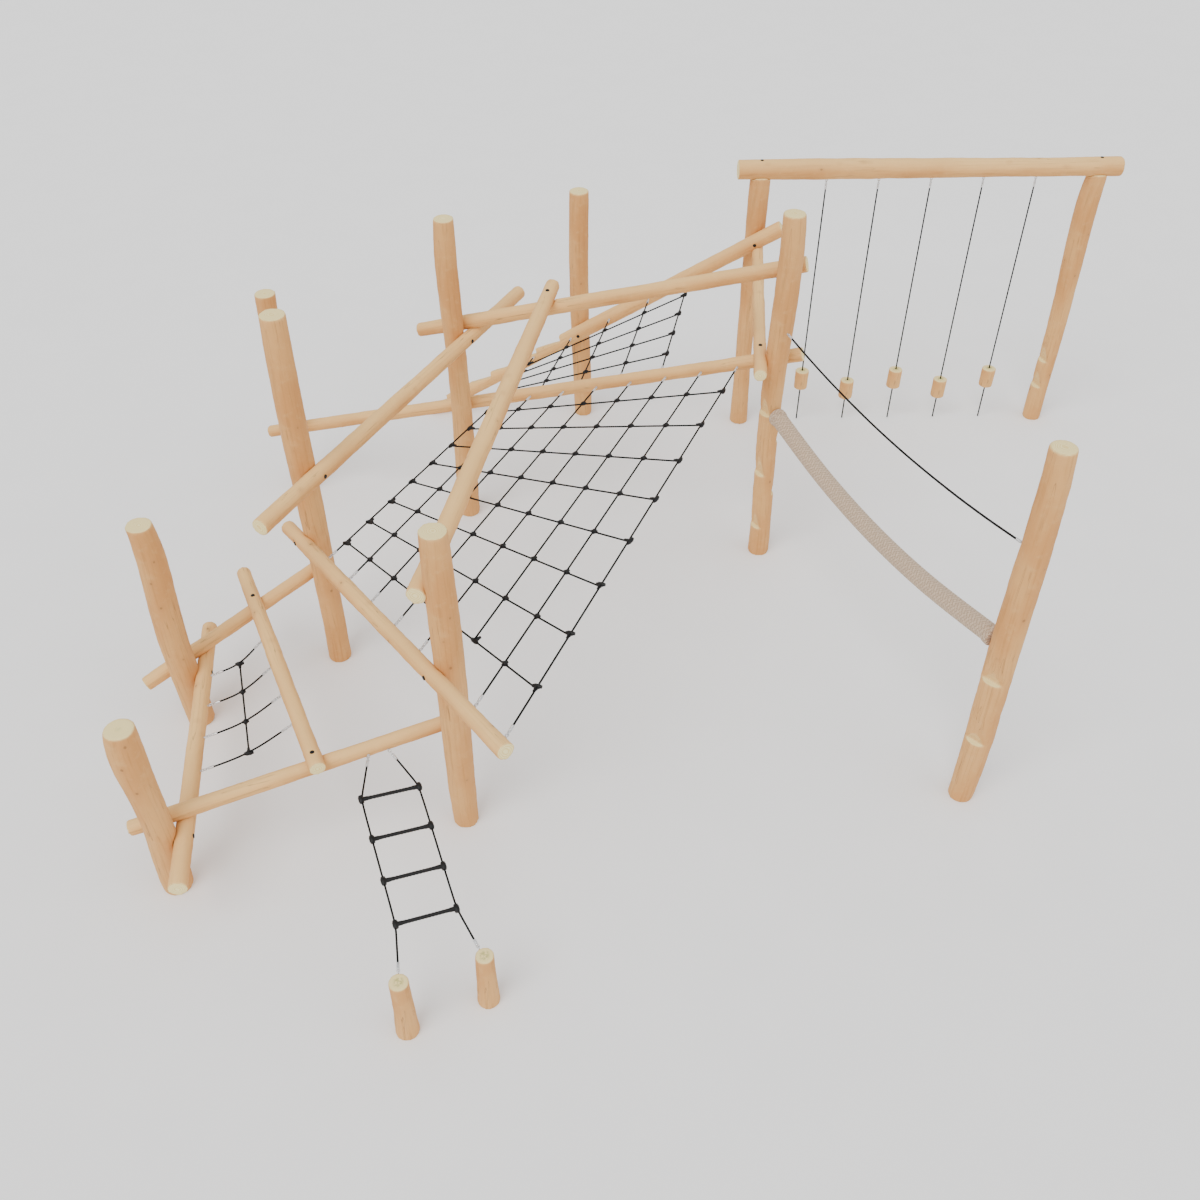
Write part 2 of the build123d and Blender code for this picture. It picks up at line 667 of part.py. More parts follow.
# ---------------------------------------------------------------- balance and hand rope
def balance_rope(posts):
    a = posts["post_08"].at(BALANCE_Z[0])
    b = posts["post_10"].at(BALANCE_Z[1])
    way = unit(b - a)
    reach_a = posts["post_08"].radius(BALANCE_Z[0]) + BALANCE_GAP
    reach_b = posts["post_10"].radius(BALANCE_Z[1]) + BALANCE_GAP
    collars, pins, holes = [], [], []
    ends = []
    for name, origin, out, reach in (("post_08", a, way, reach_a), ("post_10", b, way * -1, reach_b)):
        face = origin + out * reach
        back = face + out * COLLAR_L
        pin = rod(face - out * (BALANCE_GAP + 70), face + out * (COLLAR_L * 0.7), PIN_D)
        bore = rod(face - out * 5, face + out * (COLLAR_L * 0.75), PIN_D + PIN_PLAY)
        collars.append((rod(face, back, COLLAR_D) - bore).solid())
        pins.append(pin)
        holes.append((name, rod(face - out * (BALANCE_GAP + 71), face, PIN_D + 0.5)))
        ends.append(back - out * (COLLAR_L * 0.15))
    rope = tangent_tube(hanging_points(ends[0], ends[1], BALANCE_SAG, BALANCE_RUNS),
                        BALANCE_D, "balance rope")
    print("balance chord", spot(a), spot(b))
    return rope, collars, pins, holes


def hand_rope(hardware, posts):
    a = posts["post_08"].at(HAND_Z[0])
    b = posts["post_10"].at(HAND_Z[1])
    way = unit(b - a)
    dip = Vector(0, 0, -HAND_LEAVE)
    ends, knuckles, starts = [], [], []
    for name, z, out in (("post_08", HAND_Z[0], way), ("post_10", HAND_Z[1], way * -1)):
        knuckle, normal = hardware.eye(name, *on_post(posts[name], z), out)
        leave = unit(out + dip)
        flat_ring = unit(leave.cross(left_of(way)))
        end, start = rope_end(knuckle, leave, flat_ring, EYE_WIRE, HAND_PLAY)
        ends.append(end)
        knuckles.append(knuckle)
        starts.append(start)
    run = starts[1] - starts[0]
    points = [starts[0] + run * share - Vector(0, 0, drop) for share, drop in HAND_ROUTE]
    rope = tangent_tube(points, HAND_ROPE_D, "hand rope")
    print("hand rope chord", spot(knuckles[0]), spot(knuckles[1]))
    return rope, ends


# ---------------------------------------------------------------- whole course
def build():
    posts, beams = lay_out()
    hardware = Hardware()
    parts = {}
    nine, seven, ten = beams["beam_09"], beams["beam_07"], beams["beam_10"]
    rows1 = [NET1_ROW_PITCH * (i + 1) for i in range(NET1_ROWS)]
    ropes1, knots1 = flat_net(hardware, ("beam_09", nine), ("beam_07", seven), NET1_COUNT,
                              NET1_ON_09, NET1_ON_07, rows1, True, NET1_SHORT_ROPE)
    rows2 = [1 - NET2_ROW_FIRST - NET2_ROW_PITCH * i for i in range(NET2_ROWS)]
    ropes2, knots2 = flat_net(hardware, ("beam_10", ten), ("beam_07", seven), NET2_COUNT,
                              NET2_ON_10, NET2_ON_07, rows2, False, None)
    slack, middles = sagging_net(hardware, beams)
    spine, knots3 = slack_net_spine(slack, middles)
    ladder_ropes, rungs = ladder(hardware, posts, beams)
    swing_parts = swings(hardware, beams)
    thick, collars, pins, pin_holes = balance_rope(posts)
    hand, hand_ends = hand_rope(hardware, posts)
    logs, rods, caps = timber(posts, beams, hardware.holes + pin_holes)

    parts.update(logs)
    parts["bolt_rods"] = rods + pins
    parts["bolt_caps"] = caps
    parts["net_long_bay"] = ropes1
    parts["net_ramp_bay"] = ropes2
    parts["net_slack"] = slack + [spine]
    parts["net_connectors"] = knots1 + knots2 + knots3
    parts["eye_screws"] = hardware.eyes
    parts["chain_links"] = hardware.links
    parts["rope_sleeves"] = hardware.ends
    parts["ladder_ropes"] = ladder_ropes
    parts["ladder_rungs"] = rungs
    parts.update(swing_parts)
    parts["balance_rope"] = thick
    parts["balance_collars"] = collars
    parts["hand_rope"] = hand
    parts["hand_rope_sleeves"] = hand_ends
    return posts, beams, parts


def spot(v):
    return tuple(round(c, 2) for c in (v.X, v.Y, v.Z))


def main():
    posts, beams, parts = build()
    shapes = {}
    for name, piece in parts.items():
        shapes[name] = Compound(piece) if isinstance(piece, list) else piece
    box = Compound(list(shapes.values())).bounding_box(optimal=True)
    home = Vector(-(box.min.X + box.max.X) / 2, -(box.min.Y + box.max.Y) / 2, 0)
    print("moved home by", spot(home), "size", spot(box.size))
    os.makedirs("parts", exist_ok=True)
    for name, shape in shapes.items():
        export_step(Pos(home) * shape, "parts/" + name + ".step")


main()
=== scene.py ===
import json
import math

import bpy
import numpy as np
from mathutils import Matrix, Vector


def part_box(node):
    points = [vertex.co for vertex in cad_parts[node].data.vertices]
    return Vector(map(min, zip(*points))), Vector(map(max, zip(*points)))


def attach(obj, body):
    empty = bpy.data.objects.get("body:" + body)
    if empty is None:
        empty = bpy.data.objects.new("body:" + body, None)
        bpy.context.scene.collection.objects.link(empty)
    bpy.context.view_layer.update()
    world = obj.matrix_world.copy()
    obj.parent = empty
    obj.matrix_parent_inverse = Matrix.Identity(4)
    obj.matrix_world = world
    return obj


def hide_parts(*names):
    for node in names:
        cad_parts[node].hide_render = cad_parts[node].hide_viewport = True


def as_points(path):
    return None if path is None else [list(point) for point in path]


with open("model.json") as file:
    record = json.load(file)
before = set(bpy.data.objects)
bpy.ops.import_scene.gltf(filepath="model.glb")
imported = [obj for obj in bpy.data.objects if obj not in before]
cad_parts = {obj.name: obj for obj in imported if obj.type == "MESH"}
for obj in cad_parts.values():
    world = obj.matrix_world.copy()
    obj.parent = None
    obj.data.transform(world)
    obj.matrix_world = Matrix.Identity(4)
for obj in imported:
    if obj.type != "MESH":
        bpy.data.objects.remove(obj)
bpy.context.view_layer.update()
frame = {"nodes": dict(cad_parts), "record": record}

# Rope climbing course of peeled logs: posts, cross logs, three rope nets, a rope
# ladder, five hanging step ropes, a braided balance rope and its hand rope.
# Metres, +Z up, standing on Z = 0.

scene = bpy.context.scene
BODY_OF = {
    node: body
    for body, nodes in frame["record"]["behaviour"]["bodies"].items()
    for node in nodes
}

# ---------------------------------------------------------------- sizes
MERGE = 0.00001             # doubles in a CAD mesh
TIMBER_VOXEL = 0.012
BLOCK_VOXEL = 0.006
SLICE = 0.06                # stretch of a log that is measured at a time
CUT_SHARE = 0.84            # wood nearer the axis than this share of the radius was cut open
HEWN_TONE = 0.35            # how far hewn wood differs from the skin, where a sawn end is 1
CUT_BLEND = 0.06            # share of the radius over which it fades into the skin
SAWN_FROM = 0.55            # faces this much square to the axis start to be sawn ends
SAWN_BLEND = 0.25
SWELL = 0.010               # unevenness of a peeled log
SWELL_SPAN = 0.30
RIPPLE = 0.004
RIPPLE_SPAN = 0.07

ROPE_D = 0.016
HAND_ROPE_D = 0.018
STRANDS = 6
GROOVE = 0.80               # depth of the grooves between strands, share of the radius
LAY = 8.0                   # length of one turn of a strand, in rope diameters
ROPE_STEP = 0.010           # length of one ring of faces
LINE_STEPS = 16             # points between two control points of a rope's line
PLUMB = 6 * ROPE_D          # straight stretch at each end of a hanging rope

EYE_R = 0.012
EYE_WIRE = 0.008
EYE_SHANK_D = 0.010
LINK_R = 0.010
LINK_LENGTH = 0.031
LINK_WIRE = 0.007
RING_R = 0.010
RING_WIRE = 0.007
SLEEVE_D = 0.024
SLEEVE_L = 0.046

BALL_D = 0.044
TEE_D = 0.038
TEE_L = 0.076
TEE_ARM_D = 0.030
TEE_ARM_L = 0.058
CAP_D = 0.036
CAP_T = 0.012
CAP_PROUD = 0.004
RUNG_D = 0.030
CLAMP_D = 0.044
CLAMP_L = 0.062

BALANCE_D = 0.155
BALANCE_SAG = 0.18
BALANCE_RUNS = 6
BRAID_AROUND = 36           # strands of one hand around the balance rope
BRAID_TONES = 6             # strands before their colours come round again
BRAID_LAY = 0.36            # length of one turn of a strand of the braid
BRAID_STEP = 0.012
COLLAR_D = 0.172
COLLAR_L = 0.064
COLLAR_HOLD = 0.35          # how far past the collar's middle the rope starts, share of its length

# ---------------------------------------------------------------- routes
HAND_ROUTE = (              # share of the way from sleeve to sleeve, drop below it
    (0, 0), (0.07, 0.032), (0.14, 0.059), (0.21, 0.081), (0.28, 0.098), (0.36, 0.112),
    (0.43, 0.120), (0.50, 0.122), (0.57, 0.120), (0.64, 0.112), (0.72, 0.098),
    (0.79, 0.081), (0.86, 0.059), (0.93, 0.032), (1, 0),
)
SLACK_SAG = 0.0425
SLACK_RUNS = 4

# ---------------------------------------------------------------- studio
CAMERA_AT = (-0.7166, -8.4652, 8.05)
CAMERA_TILT = 48.33         # degrees up from straight down
CAMERA_LENS = 36.14
CAMERA_SENSOR = 36
CAMERA_REACH = 200
FLOOR_SIZE = 120
SKY_STRENGTH = 0.95
LAMPS = (                   # name, strength, spread and turns in degrees
    ("key_light", 1.9, 40, (38, 0, -35)),
    ("fill_light", 0.65, 60, (55, 0, 60)),
)

# ---------------------------------------------------------------- directions
ORIGIN = Vector((0, 0, 0))
X = Vector((1, 0, 0))
Z = Vector((0, 0, 1))


# ---------------------------------------------------------------- bench tools
def pick(*pieces):
    """These pieces are selected and nothing else, and the first is active."""
    bpy.ops.object.select_all(action="DESELECT")
    for piece in pieces:
        piece.select_set(True)
    bpy.context.view_layer.objects.active = pieces[0]


def open_up(piece):
    """Edit mode with everything selected."""
    pick(piece)
    bpy.ops.object.mode_set(mode="EDIT")
    bpy.ops.mesh.select_all(action="SELECT")


def close_up():
    bpy.ops.object.mode_set(mode="OBJECT")


def choose(piece, wanted):
    """Edit mode with only the wanted vertices selected."""
    open_up(piece)
    bpy.ops.mesh.select_mode(type="VERT")
    bpy.ops.mesh.select_all(action="DESELECT")
    close_up()
    for vertex in piece.data.vertices:
        vertex.select = wanted(vertex)
    bpy.ops.object.mode_set(mode="EDIT")


def shaped(piece, kind, **settings):
    """A modifier, set and applied."""
    pick(piece)
    modifier = piece.modifiers.new(kind.lower(), kind)
    for key, value in settings.items():
        setattr(modifier, key, value)
    bpy.ops.object.modifier_apply(modifier=modifier.name)
    return piece


def smooth(piece, angle=None):
    pick(piece)
    if angle is None:
        bpy.ops.object.shade_smooth()
    else:
        bpy.ops.object.shade_smooth_by_angle(angle=math.radians(angle))
    return piece


def outward(piece):
    open_up(piece)
    bpy.ops.mesh.normals_make_consistent(inside=False)
    close_up()
    return piece


def copied(master):
    twin = master.copy()
    twin.data = master.data.copy()
    scene.collection.objects.link(twin)
    return twin


def stand(piece, origin, up, side):
    """Places a piece that was modelled at the origin: its Z goes along up, its X near side."""
    up = up.normalized()
    forward = up.cross(side).normalized()
    side = forward.cross(up)
    turn = Matrix((side, forward, up)).transposed().to_4x4()
    piece.matrix_world = Matrix.Translation(origin) @ turn
    return piece


def settled(name, pieces):
    """The pieces as one, at the origin, with its place in its mesh."""
    pick(*pieces)
    bpy.ops.object.transform_apply(location=True, rotation=True, scale=True)
    if len(pieces) > 1:
        bpy.ops.object.join()
    whole = bpy.context.view_layer.objects.active
    whole.name = name
    whole.data.name = name
    return whole


def fitted(piece, node, slot, finish):
    """The piece stands for its CAD node, rides on its body and has its finish."""
    piece.data.materials.clear()
    piece.data.materials.append(finish)
    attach(piece, BODY_OF[node])
    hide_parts(node)
    return piece


def read(items, key, width):
    values = np.empty(len(items) * width)
    items.foreach_get(key, values)
    return values.reshape(-1, width) if width > 1 else values


def write(piece, name, kind, values):
    """Keeps one value for each point of the mesh, for its material to read."""
    layer = piece.data.attributes.new(name, kind, "POINT")
    key = "vector" if kind == "FLOAT_VECTOR" else "value"
    layer.data.foreach_set(key, np.asarray(values, np.float32).ravel())


# ---------------------------------------------------------------- measuring the frame
class Solid:
    """One closed CAD solid, measured by its own surface."""

    def __init__(self, mesh):
        self.points = read(mesh.vertices, "co", 3)
        areas = read(mesh.polygons, "area", 1)
        centres = read(mesh.polygons, "center", 3)
        middle = areas @ centres / areas.sum()
        away = centres - middle
        spread = (away * areas[:, None]).T @ away
        self.middle = Vector(middle)
        self.axes = [Vector(axis) for axis in np.linalg.eigh(spread)[1].T[::-1]]

    def reach(self, way):
        """How far it goes from its middle against way and along it."""
        along = (self.points - np.array(self.middle)) @ np.array(way)
        return along.min(), along.max()

    def tail(self, way):
        """way or its opposite: the one that it goes further along."""
        low, high = self.reach(way)
        return way if high > -low else -way

    def ends(self):
        way = self.axes[0]
        low, high = self.reach(way)
        return self.middle + way * low, self.middle + way * high


def cad_copy(node):
    piece = bpy.data.objects.new(node + "_copy", frame["nodes"][node].data.copy())
    scene.collection.objects.link(piece)
    open_up(piece)
    bpy.ops.mesh.remove_doubles(threshold=MERGE)
    close_up()
    return piece


def solids_of(node):
    """Each solid of a CAD node, measured."""
    open_up(cad_copy(node))
    bpy.ops.mesh.separate(type="LOOSE")
    close_up()
    parts = list(bpy.context.selected_objects)
    found = [Solid(part.data) for part in parts]
    for part in parts:
        bpy.data.objects.remove(part)
    return found


# ---------------------------------------------------------------- finishes
class Finish:
    """A material being put together from nodes."""

    def __init__(self, name, **sockets):
        self.material = bpy.data.materials.new(name)
        self.material.use_nodes = True
        self.tree = self.material.node_tree
        self.shader = self.tree.nodes["Principled BSDF"]
        for socket, value in sockets.items():
            self.shader.inputs[socket.replace("_", " ")].default_value = value

    def add(self, kind, inputs=(), **settings):
        made = self.tree.nodes.new("ShaderNode" + kind)
        for key, value in settings.items():
            setattr(made, key, value)
        for socket, value in dict(inputs).items():
            if isinstance(value, bpy.types.NodeSocket):
                self.tree.links.new(value, made.inputs[socket])
            else:
                made.inputs[socket].default_value = value
        return made

    def attribute(self, name, output="Fac"):
        return self.add("Attribute", attribute_name=name).outputs[output]

    def place(self):
        return self.add("TexCoord").outputs["Object"]

    def scaled(self, vector, scale):
        return self.add("Mapping", {"Vector": vector, "Scale": scale}).outputs[0]

    def noise(self, vector, scale=1.0, detail=3.0, roughness=0.5):
        inputs = {"Vector": vector, "Scale": scale, "Detail": detail, "Roughness": roughness}
        return self.add("TexNoise", inputs).outputs["Fac"]

    def span(self, value, low, high, to_low=0.0, to_high=1.0):
        inputs = {0: value, 1: low, 2: high, 3: to_low, 4: to_high}
        return self.add("MapRange", inputs, interpolation_type="SMOOTHSTEP").outputs[0]

    def math(self, operation, *values):
        return self.add("Math", dict(enumerate(values)), operation=operation).outputs[0]

    def mix(self, share, first, second):
        return self.add("Mix", {0: share, 6: first, 7: second}, data_type="RGBA").outputs[2]

    def colour(self, value):
        self.tree.links.new(value, self.shader.inputs["Base Color"])

    def rough(self, value):
        self.tree.links.new(value, self.shader.inputs["Roughness"])

    def relief(self, height, distance, strength):
        bump = self.add("Bump", {"Height": height, "Distance": distance, "Strength": strength})
        self.tree.links.new(bump.outputs[0], self.shader.inputs["Normal"])


def paint(red, green, blue):
    """Screen colour 0..255 as the shader's own."""
    linear = []
    for value in (red, green, blue):
        value = value / 255
        linear.append(value / 12.92 if value < 0.04045 else ((value + 0.055) / 1.055) ** 2.4)
    return (*linear, 1)


def timber_finish(name, deep, pale, painted_top_light):
    """Peeled robinia: streaky skin with knots and hair cracks, rings where it was cut, and a
    painted highlight where the skin faces up.
    """
    made = Finish(name, Specular_IOR_Level=0.3)
    grain = made.attribute("grain", "Vector")
    cut = made.attribute("cut")
    sky = made.attribute("sky")
    patches = made.span(made.noise(made.scaled(grain, (3.5, 3.5, 1.3)), detail=3), 0.32, 0.68)
    streaks = made.noise(made.scaled(grain, (42, 42, 1.7)), detail=5, roughness=0.6)
    fibres = made.noise(made.scaled(grain, (230, 230, 6)), detail=3)
    mottle = made.noise(grain, scale=14, detail=4, roughness=0.65)

    skin = made.mix(patches, deep, pale)
    skin = made.mix(made.span(streaks, 0.50, 0.72, 0, 0.30), skin, paint(158, 100, 54))
    skin = made.mix(made.span(mottle, 0.50, 0.75, 0, 0.16), skin, paint(236, 200, 140))
    # Painted light: skin that faces up is mixed towards a paler colour, as if lit from above.
    skin = made.mix(made.math("MULTIPLY", sky, 0.62), skin, painted_top_light)

    knot = made.add("TexVoronoi", {"Vector": made.scaled(grain, (5.6, 5.6, 4.4)), "Scale": 1.0})
    halo = made.span(knot.outputs["Distance"], 0.07, 0.26, 1, 0)
    core = made.span(knot.outputs["Distance"], 0.035, 0.085, 1, 0)
    skin = made.mix(made.math("MULTIPLY", halo, 0.22), skin, paint(188, 132, 82))
    skin = made.mix(made.math("MULTIPLY", core, 0.45), skin, paint(96, 64, 40))

    line = made.noise(made.scaled(grain, (19, 19, 0.55)), detail=2)
    crack = made.span(made.math("ABSOLUTE", made.math("SUBTRACT", line, 0.5)), 0.0015, 0.006, 1, 0)
    crack = made.math("MULTIPLY", crack, made.span(patches, 0.35, 0.8))
    skin = made.mix(made.math("MULTIPLY", crack, 0.45), skin, paint(120, 84, 54))

    flat_grain = made.scaled(grain, (1, 1, 0.04))
    warp = made.noise(flat_grain, scale=14, detail=3)
    radius = made.add("VectorMath", {0: flat_grain}, operation="LENGTH").outputs["Value"]
    radius = made.math("MULTIPLY_ADD", warp, 0.020, radius)
    rings = made.math("SINE", made.math("MULTIPLY", radius, 1000))
    heart = made.math("MULTIPLY", made.span(radius, 0.030, 0.062, 1, 0),
                      made.span(made.noise(flat_grain, scale=60, detail=4), 0.36, 0.62))
    face = made.mix(made.span(rings, -1, 1), paint(250, 234, 174), paint(236, 210, 140))
    face = made.mix(made.math("MULTIPLY", heart, 0.85), face, paint(176, 170, 104))
    face = made.mix(made.span(made.noise(flat_grain, scale=160, detail=2), 0.6, 0.8, 0, 0.4),
                    face, paint(206, 180, 120))
    made.colour(made.mix(cut, skin, face))
    made.rough(made.span(streaks, 0.3, 0.7, 0.62, 0.82))

    height = made.math("MULTIPLY_ADD", fibres, 0.35, made.math("MULTIPLY", streaks, 0.9))
    height = made.math("MULTIPLY_ADD", halo, 0.6, height)
    height = made.math("MULTIPLY_ADD", core, -0.8, height)
    height = made.math("MULTIPLY_ADD", crack, -0.9, height)
    sawn = made.math("MULTIPLY", made.math("ADD", rings, fibres), 0.12)
    height = made.mix(cut, height, sawn)
    made.relief(height, 0.003, 0.8)
    return made.material


def rope_finish(name, tone, fleck):
    """Stranded rope of fine synthetic yarn."""
    made = Finish(name, Specular_IOR_Level=0.18)
    place = made.place()
    yarn = made.noise(place, scale=900, detail=2)
    dust = made.noise(place, scale=30, detail=3)
    made.colour(made.mix(made.span(yarn, 0.35, 0.75, 0, 1), tone, fleck))
    made.rough(made.span(dust, 0.3, 0.7, 0.60, 0.78))
    made.relief(yarn, 0.0006, 0.8)
    return made.material


def moulded_finish(name):
    """Black moulded plastic with a fine grain and rubbed spots."""
    made = Finish(name, Specular_IOR_Level=0.30)
    place = made.place()
    leather = made.noise(place, scale=1100, detail=2)
    rubbed = made.span(made.noise(place, scale=42, detail=4), 0.50, 0.75)
    made.colour(made.mix(rubbed, paint(12, 12, 13), paint(26, 26, 28)))
    made.rough(made.span(rubbed, 0, 1, 0.46, 0.62))
    made.relief(leather, 0.0003, 0.5)
    return made.material


def steel_finish(name):
    """Stainless fittings, brushed and a little stained."""
    made = Finish(name, Metallic=1.0)
    place = made.place()
    brushed = made.noise(made.scaled(place, (1, 1, 14)), scale=160, detail=3)
    stain = made.span(made.noise(place, scale=70, detail=4), 0.45, 0.75)
    made.colour(made.mix(stain, paint(222, 224, 226), paint(172, 172, 170)))
    made.rough(made.span(brushed, 0.3, 0.7, 0.22, 0.42))
    made.relief(brushed, 0.0002, 0.4)
    return made.material


def braid_finish(name):
    """Hollow braid: strands of both hands that go over two and under two."""
    made = Finish(name, Specular_IOR_Level=0.25, Sheen_Weight=0.2, Sheen_Roughness=0.6)
    strands = made.add("UVMap", uv_map="braid").outputs[0]
    parts = made.add("SeparateXYZ", {0: strands}).outputs
    left = made.math("ADD", parts[0], parts[1])
    right = made.math("SUBTRACT", parts[0], parts[1])
    turn = made.math("ADD", made.math("FLOOR", left), made.math("FLOOR", right))
    over = made.math("LESS_THAN", made.math("FLOORED_MODULO", turn, 4.0), 1.5)
    crowns, tints = [], []
    for number, along in enumerate((left, right)):
        inside = made.math("FRACT", along)
        crowns.append(made.math("SINE", made.math("MULTIPLY", inside, math.pi)))
        number_of = made.math("FLOORED_MODULO", made.math("FLOOR", along), BRAID_TONES)
        tag = made.add("TexWhiteNoise", {"W": number_of}, noise_dimensions="1D").outputs["Value"]
        tints.append(made.math("MULTIPLY_ADD", tag, 0.8, 0.1 * number))
    flat = dict(data_type="FLOAT")
    crown = made.add("Mix", {0: over, 2: crowns[0], 3: crowns[1]}, **flat).outputs[0]
    tint = made.add("Mix", {0: over, 2: tints[0], 3: tints[1]}, **flat).outputs[0]
    yarn = made.noise(made.place(), scale=420, detail=3)
    tone = made.mix(made.span(tint, 0.15, 0.75), paint(198, 164, 132), paint(240, 216, 186))
    tone = made.mix(made.span(yarn, 0.35, 0.7, 0, 0.30), tone, paint(186, 162, 138))
    # Painted shade: the colour darkens towards the edges of each strand, in the grooves between
    # strands.
    tone = made.mix(made.span(crown, 0.10, 0.70, 0.75, 0), tone, paint(126, 98, 76))
    made.colour(tone)
    made.rough(made.span(yarn, 0.3, 0.7, 0.72, 0.9))
    height = made.math("MULTIPLY_ADD", yarn, 0.15, crown)
    made.relief(height, 0.004, 0.9)
    return made.material


# The third colour of each wood is the painted highlight for skin that faces up.
POST_WOOD = timber_finish("peeled_post",
                          paint(206, 146, 84), paint(222, 168, 104), paint(238, 202, 138))
LOG_WOOD = timber_finish("peeled_log",
                         paint(210, 150, 86), paint(230, 176, 108), paint(252, 212, 142))
BLOCK_WOOD = timber_finish("step_block",
                           paint(208, 150, 88), paint(226, 174, 110), paint(240, 208, 146))
BLACK_ROPE = rope_finish("black_rope", paint(5, 5, 6), paint(16, 16, 17))
BLACK_PLASTIC = moulded_finish("black_plastic")
STEEL = steel_finish("steel_fittings")
BRAID = braid_finish("braided_rope")


# ---------------------------------------------------------------- timber
def clouds(name, scale):
    texture = bpy.data.textures.new(name, "CLOUDS")
    texture.noise_scale = scale
    texture.noise_depth = 2
    return texture


SWELLS = clouds("swells", SWELL_SPAN)
RIPPLES = clouds("ripples", RIPPLE_SPAN)


def log_frame(piece):
    """The log's own coordinates: two across its axis, measured slice by slice, and one along."""
    solid = Solid(piece.data)
    way = solid.axes[0]
    way = way if way.z > 0 else -way
    side = way.orthogonal().normalized()
    turned = np.array((side, way.cross(side), way))
    places = (read(piece.data.vertices, "co", 3) - np.array(solid.middle)) @ turned.T
    slices = np.floor((places[:, 2] - places[:, 2].min()) / SLICE).astype(int)
    centres = np.zeros((slices.max() + 1, 2))
    sizes = np.zeros(slices.max() + 1)
    for number in range(slices.max() + 1):
        here = places[slices == number, :2]
        centres[number] = (here.min(0) + here.max(0)) / 2
        sizes[number] = (here.max(0) - here.min(0)).max() / 2
    middles = places[:, 2].min() + SLICE * (np.arange(len(sizes)) + 0.5)
    for axis in (0, 1):
        places[:, axis] -= np.interp(places[:, 2], middles, centres[:, axis])
    radii = np.interp(places[:, 2], middles, sizes)
    return places, radii, turned


def wood_marks(piece):
    """Where the grain runs, where the saw opened the wood and how far it faces the sky, for a
    painted highlight on its top.
    """
    places, radii, turned = log_frame(piece)
    normals = read(piece.data.vertices, "normal", 3)
    across = np.abs(normals @ turned[2])
    away = np.hypot(places[:, 0], places[:, 1])
    sawn = np.clip((across - SAWN_FROM) / SAWN_BLEND, 0, 1)
    opened = np.clip((CUT_SHARE - away / radii) / CUT_BLEND, 0, 1)
    tone = np.maximum(sawn, opened * HEWN_TONE)
    write(piece, "grain", "FLOAT_VECTOR", places)
    write(piece, "cut", "FLOAT", tone)
    # sky: how far each point faces up, which the wood's material turns into a painted highlight.
    write(piece, "sky", "FLOAT", np.clip(normals[:, 2], 0, 1) * (1 - tone))
    return np.maximum(sawn, opened)


def on_the_ground(piece):
    """Nothing goes below the ground."""
    points = read(piece.data.vertices, "co", 3)
    points[:, 2] = np.maximum(points[:, 2], 0)
    piece.data.vertices.foreach_set("co", points.ravel())
    piece.data.update()


def hewn(piece, voxel):
    """Even skin of small faces, softened, with the swells and ripples of peeled wood."""
    shaped(piece, "REMESH", mode="VOXEL", voxel_size=voxel)
    shaped(piece, "SMOOTH", factor=0.5, iterations=2)
    cut = wood_marks(piece)
    bark = piece.vertex_groups.new(name="bark")
    for index in np.flatnonzero(cut < 0.5):
        bark.add([int(index)], 1.0, "REPLACE")
    for texture, strength in ((SWELLS, SWELL), (RIPPLES, RIPPLE)):
        shaped(piece, "DISPLACE", texture=texture, texture_coords="LOCAL", strength=strength,
               mid_level=0.5, vertex_group="bark")
    shaped(piece, "SMOOTH", factor=0.5, iterations=1)
    piece.vertex_groups.clear()
    on_the_ground(piece)
    return smooth(piece)


def timber():
    for node in sorted(frame["nodes"]):
        if node.startswith(("post_", "stump_")):
            voxel, slot, finish = TIMBER_VOXEL, "peeled_post", POST_WOOD
        elif node.startswith("beam_"):
            voxel, slot, finish = TIMBER_VOXEL, "peeled_log", LOG_WOOD
        elif node.endswith("_block"):
            voxel, slot, finish = BLOCK_VOXEL, "step_block", BLOCK_WOOD
        else:
            continue
        piece = hewn(settled(node + "_timber", [cad_copy(node)]), voxel)
        fitted(piece, node, slot, finish)


# ---------------------------------------------------------------- turned and bent pieces
def turned(rings, sides):
    """Round piece about Z, from the radius and the height of each of its steps."""
    (radius, height), *steps = rings
    bpy.ops.object.select_all(action="DESELECT")
    bpy.ops.mesh.primitive_circle_add(vertices=sides, radius=radius, fill_type="NGON",
                                      location=(0, 0, height))
    piece = bpy.context.object
    bpy.ops.object.transform_apply(location=True)
    open_up(piece)
    for next_radius, next_height in steps:
        lift = (0, 0, next_height - height)
        bpy.ops.mesh.extrude_region_move(TRANSFORM_OT_translate={"value": lift})
        grow = next_radius / radius
        bpy.ops.transform.resize(value=(grow, grow, 1), center_override=(0, 0, next_height))
        radius, height = next_radius, next_height
    close_up()
    return outward(piece)


def wire_ring(radius, wire, stretch=0.0):
    """Ring of round wire about X, pulled out into a long link if asked."""
    bpy.ops.object.select_all(action="DESELECT")
    bpy.ops.mesh.primitive_torus_add(major_radius=radius, minor_radius=wire / 2,
                                     major_segments=28, minor_segments=10,
                                     rotation=(0, math.pi / 2, 0))
    piece = bpy.context.object
    bpy.ops.object.transform_apply(rotation=True)
    if stretch:
        choose(piece, lambda vertex: vertex.co.z > 0)
        bpy.ops.transform.translate(value=(0, 0, stretch))
        close_up()
        open_up(piece)
        bpy.ops.transform.translate(value=(0, 0, -stretch / 2))
        close_up()
    return smooth(piece)


def eye_master():
    """Ring about X at the origin, with its flange and shank below it."""
    shank = turned([
        (0.003, -0.066), (EYE_SHANK_D / 2, -0.060), (EYE_SHANK_D / 2, -0.021),
        (0.0095, -0.020), (0.0095, -0.0175), (0.0055, -0.0165), (0.0042, -0.011),
    ], 16)
    return settled("eye", [wire_ring(EYE_R, EYE_WIRE), smooth(shank, 35)])


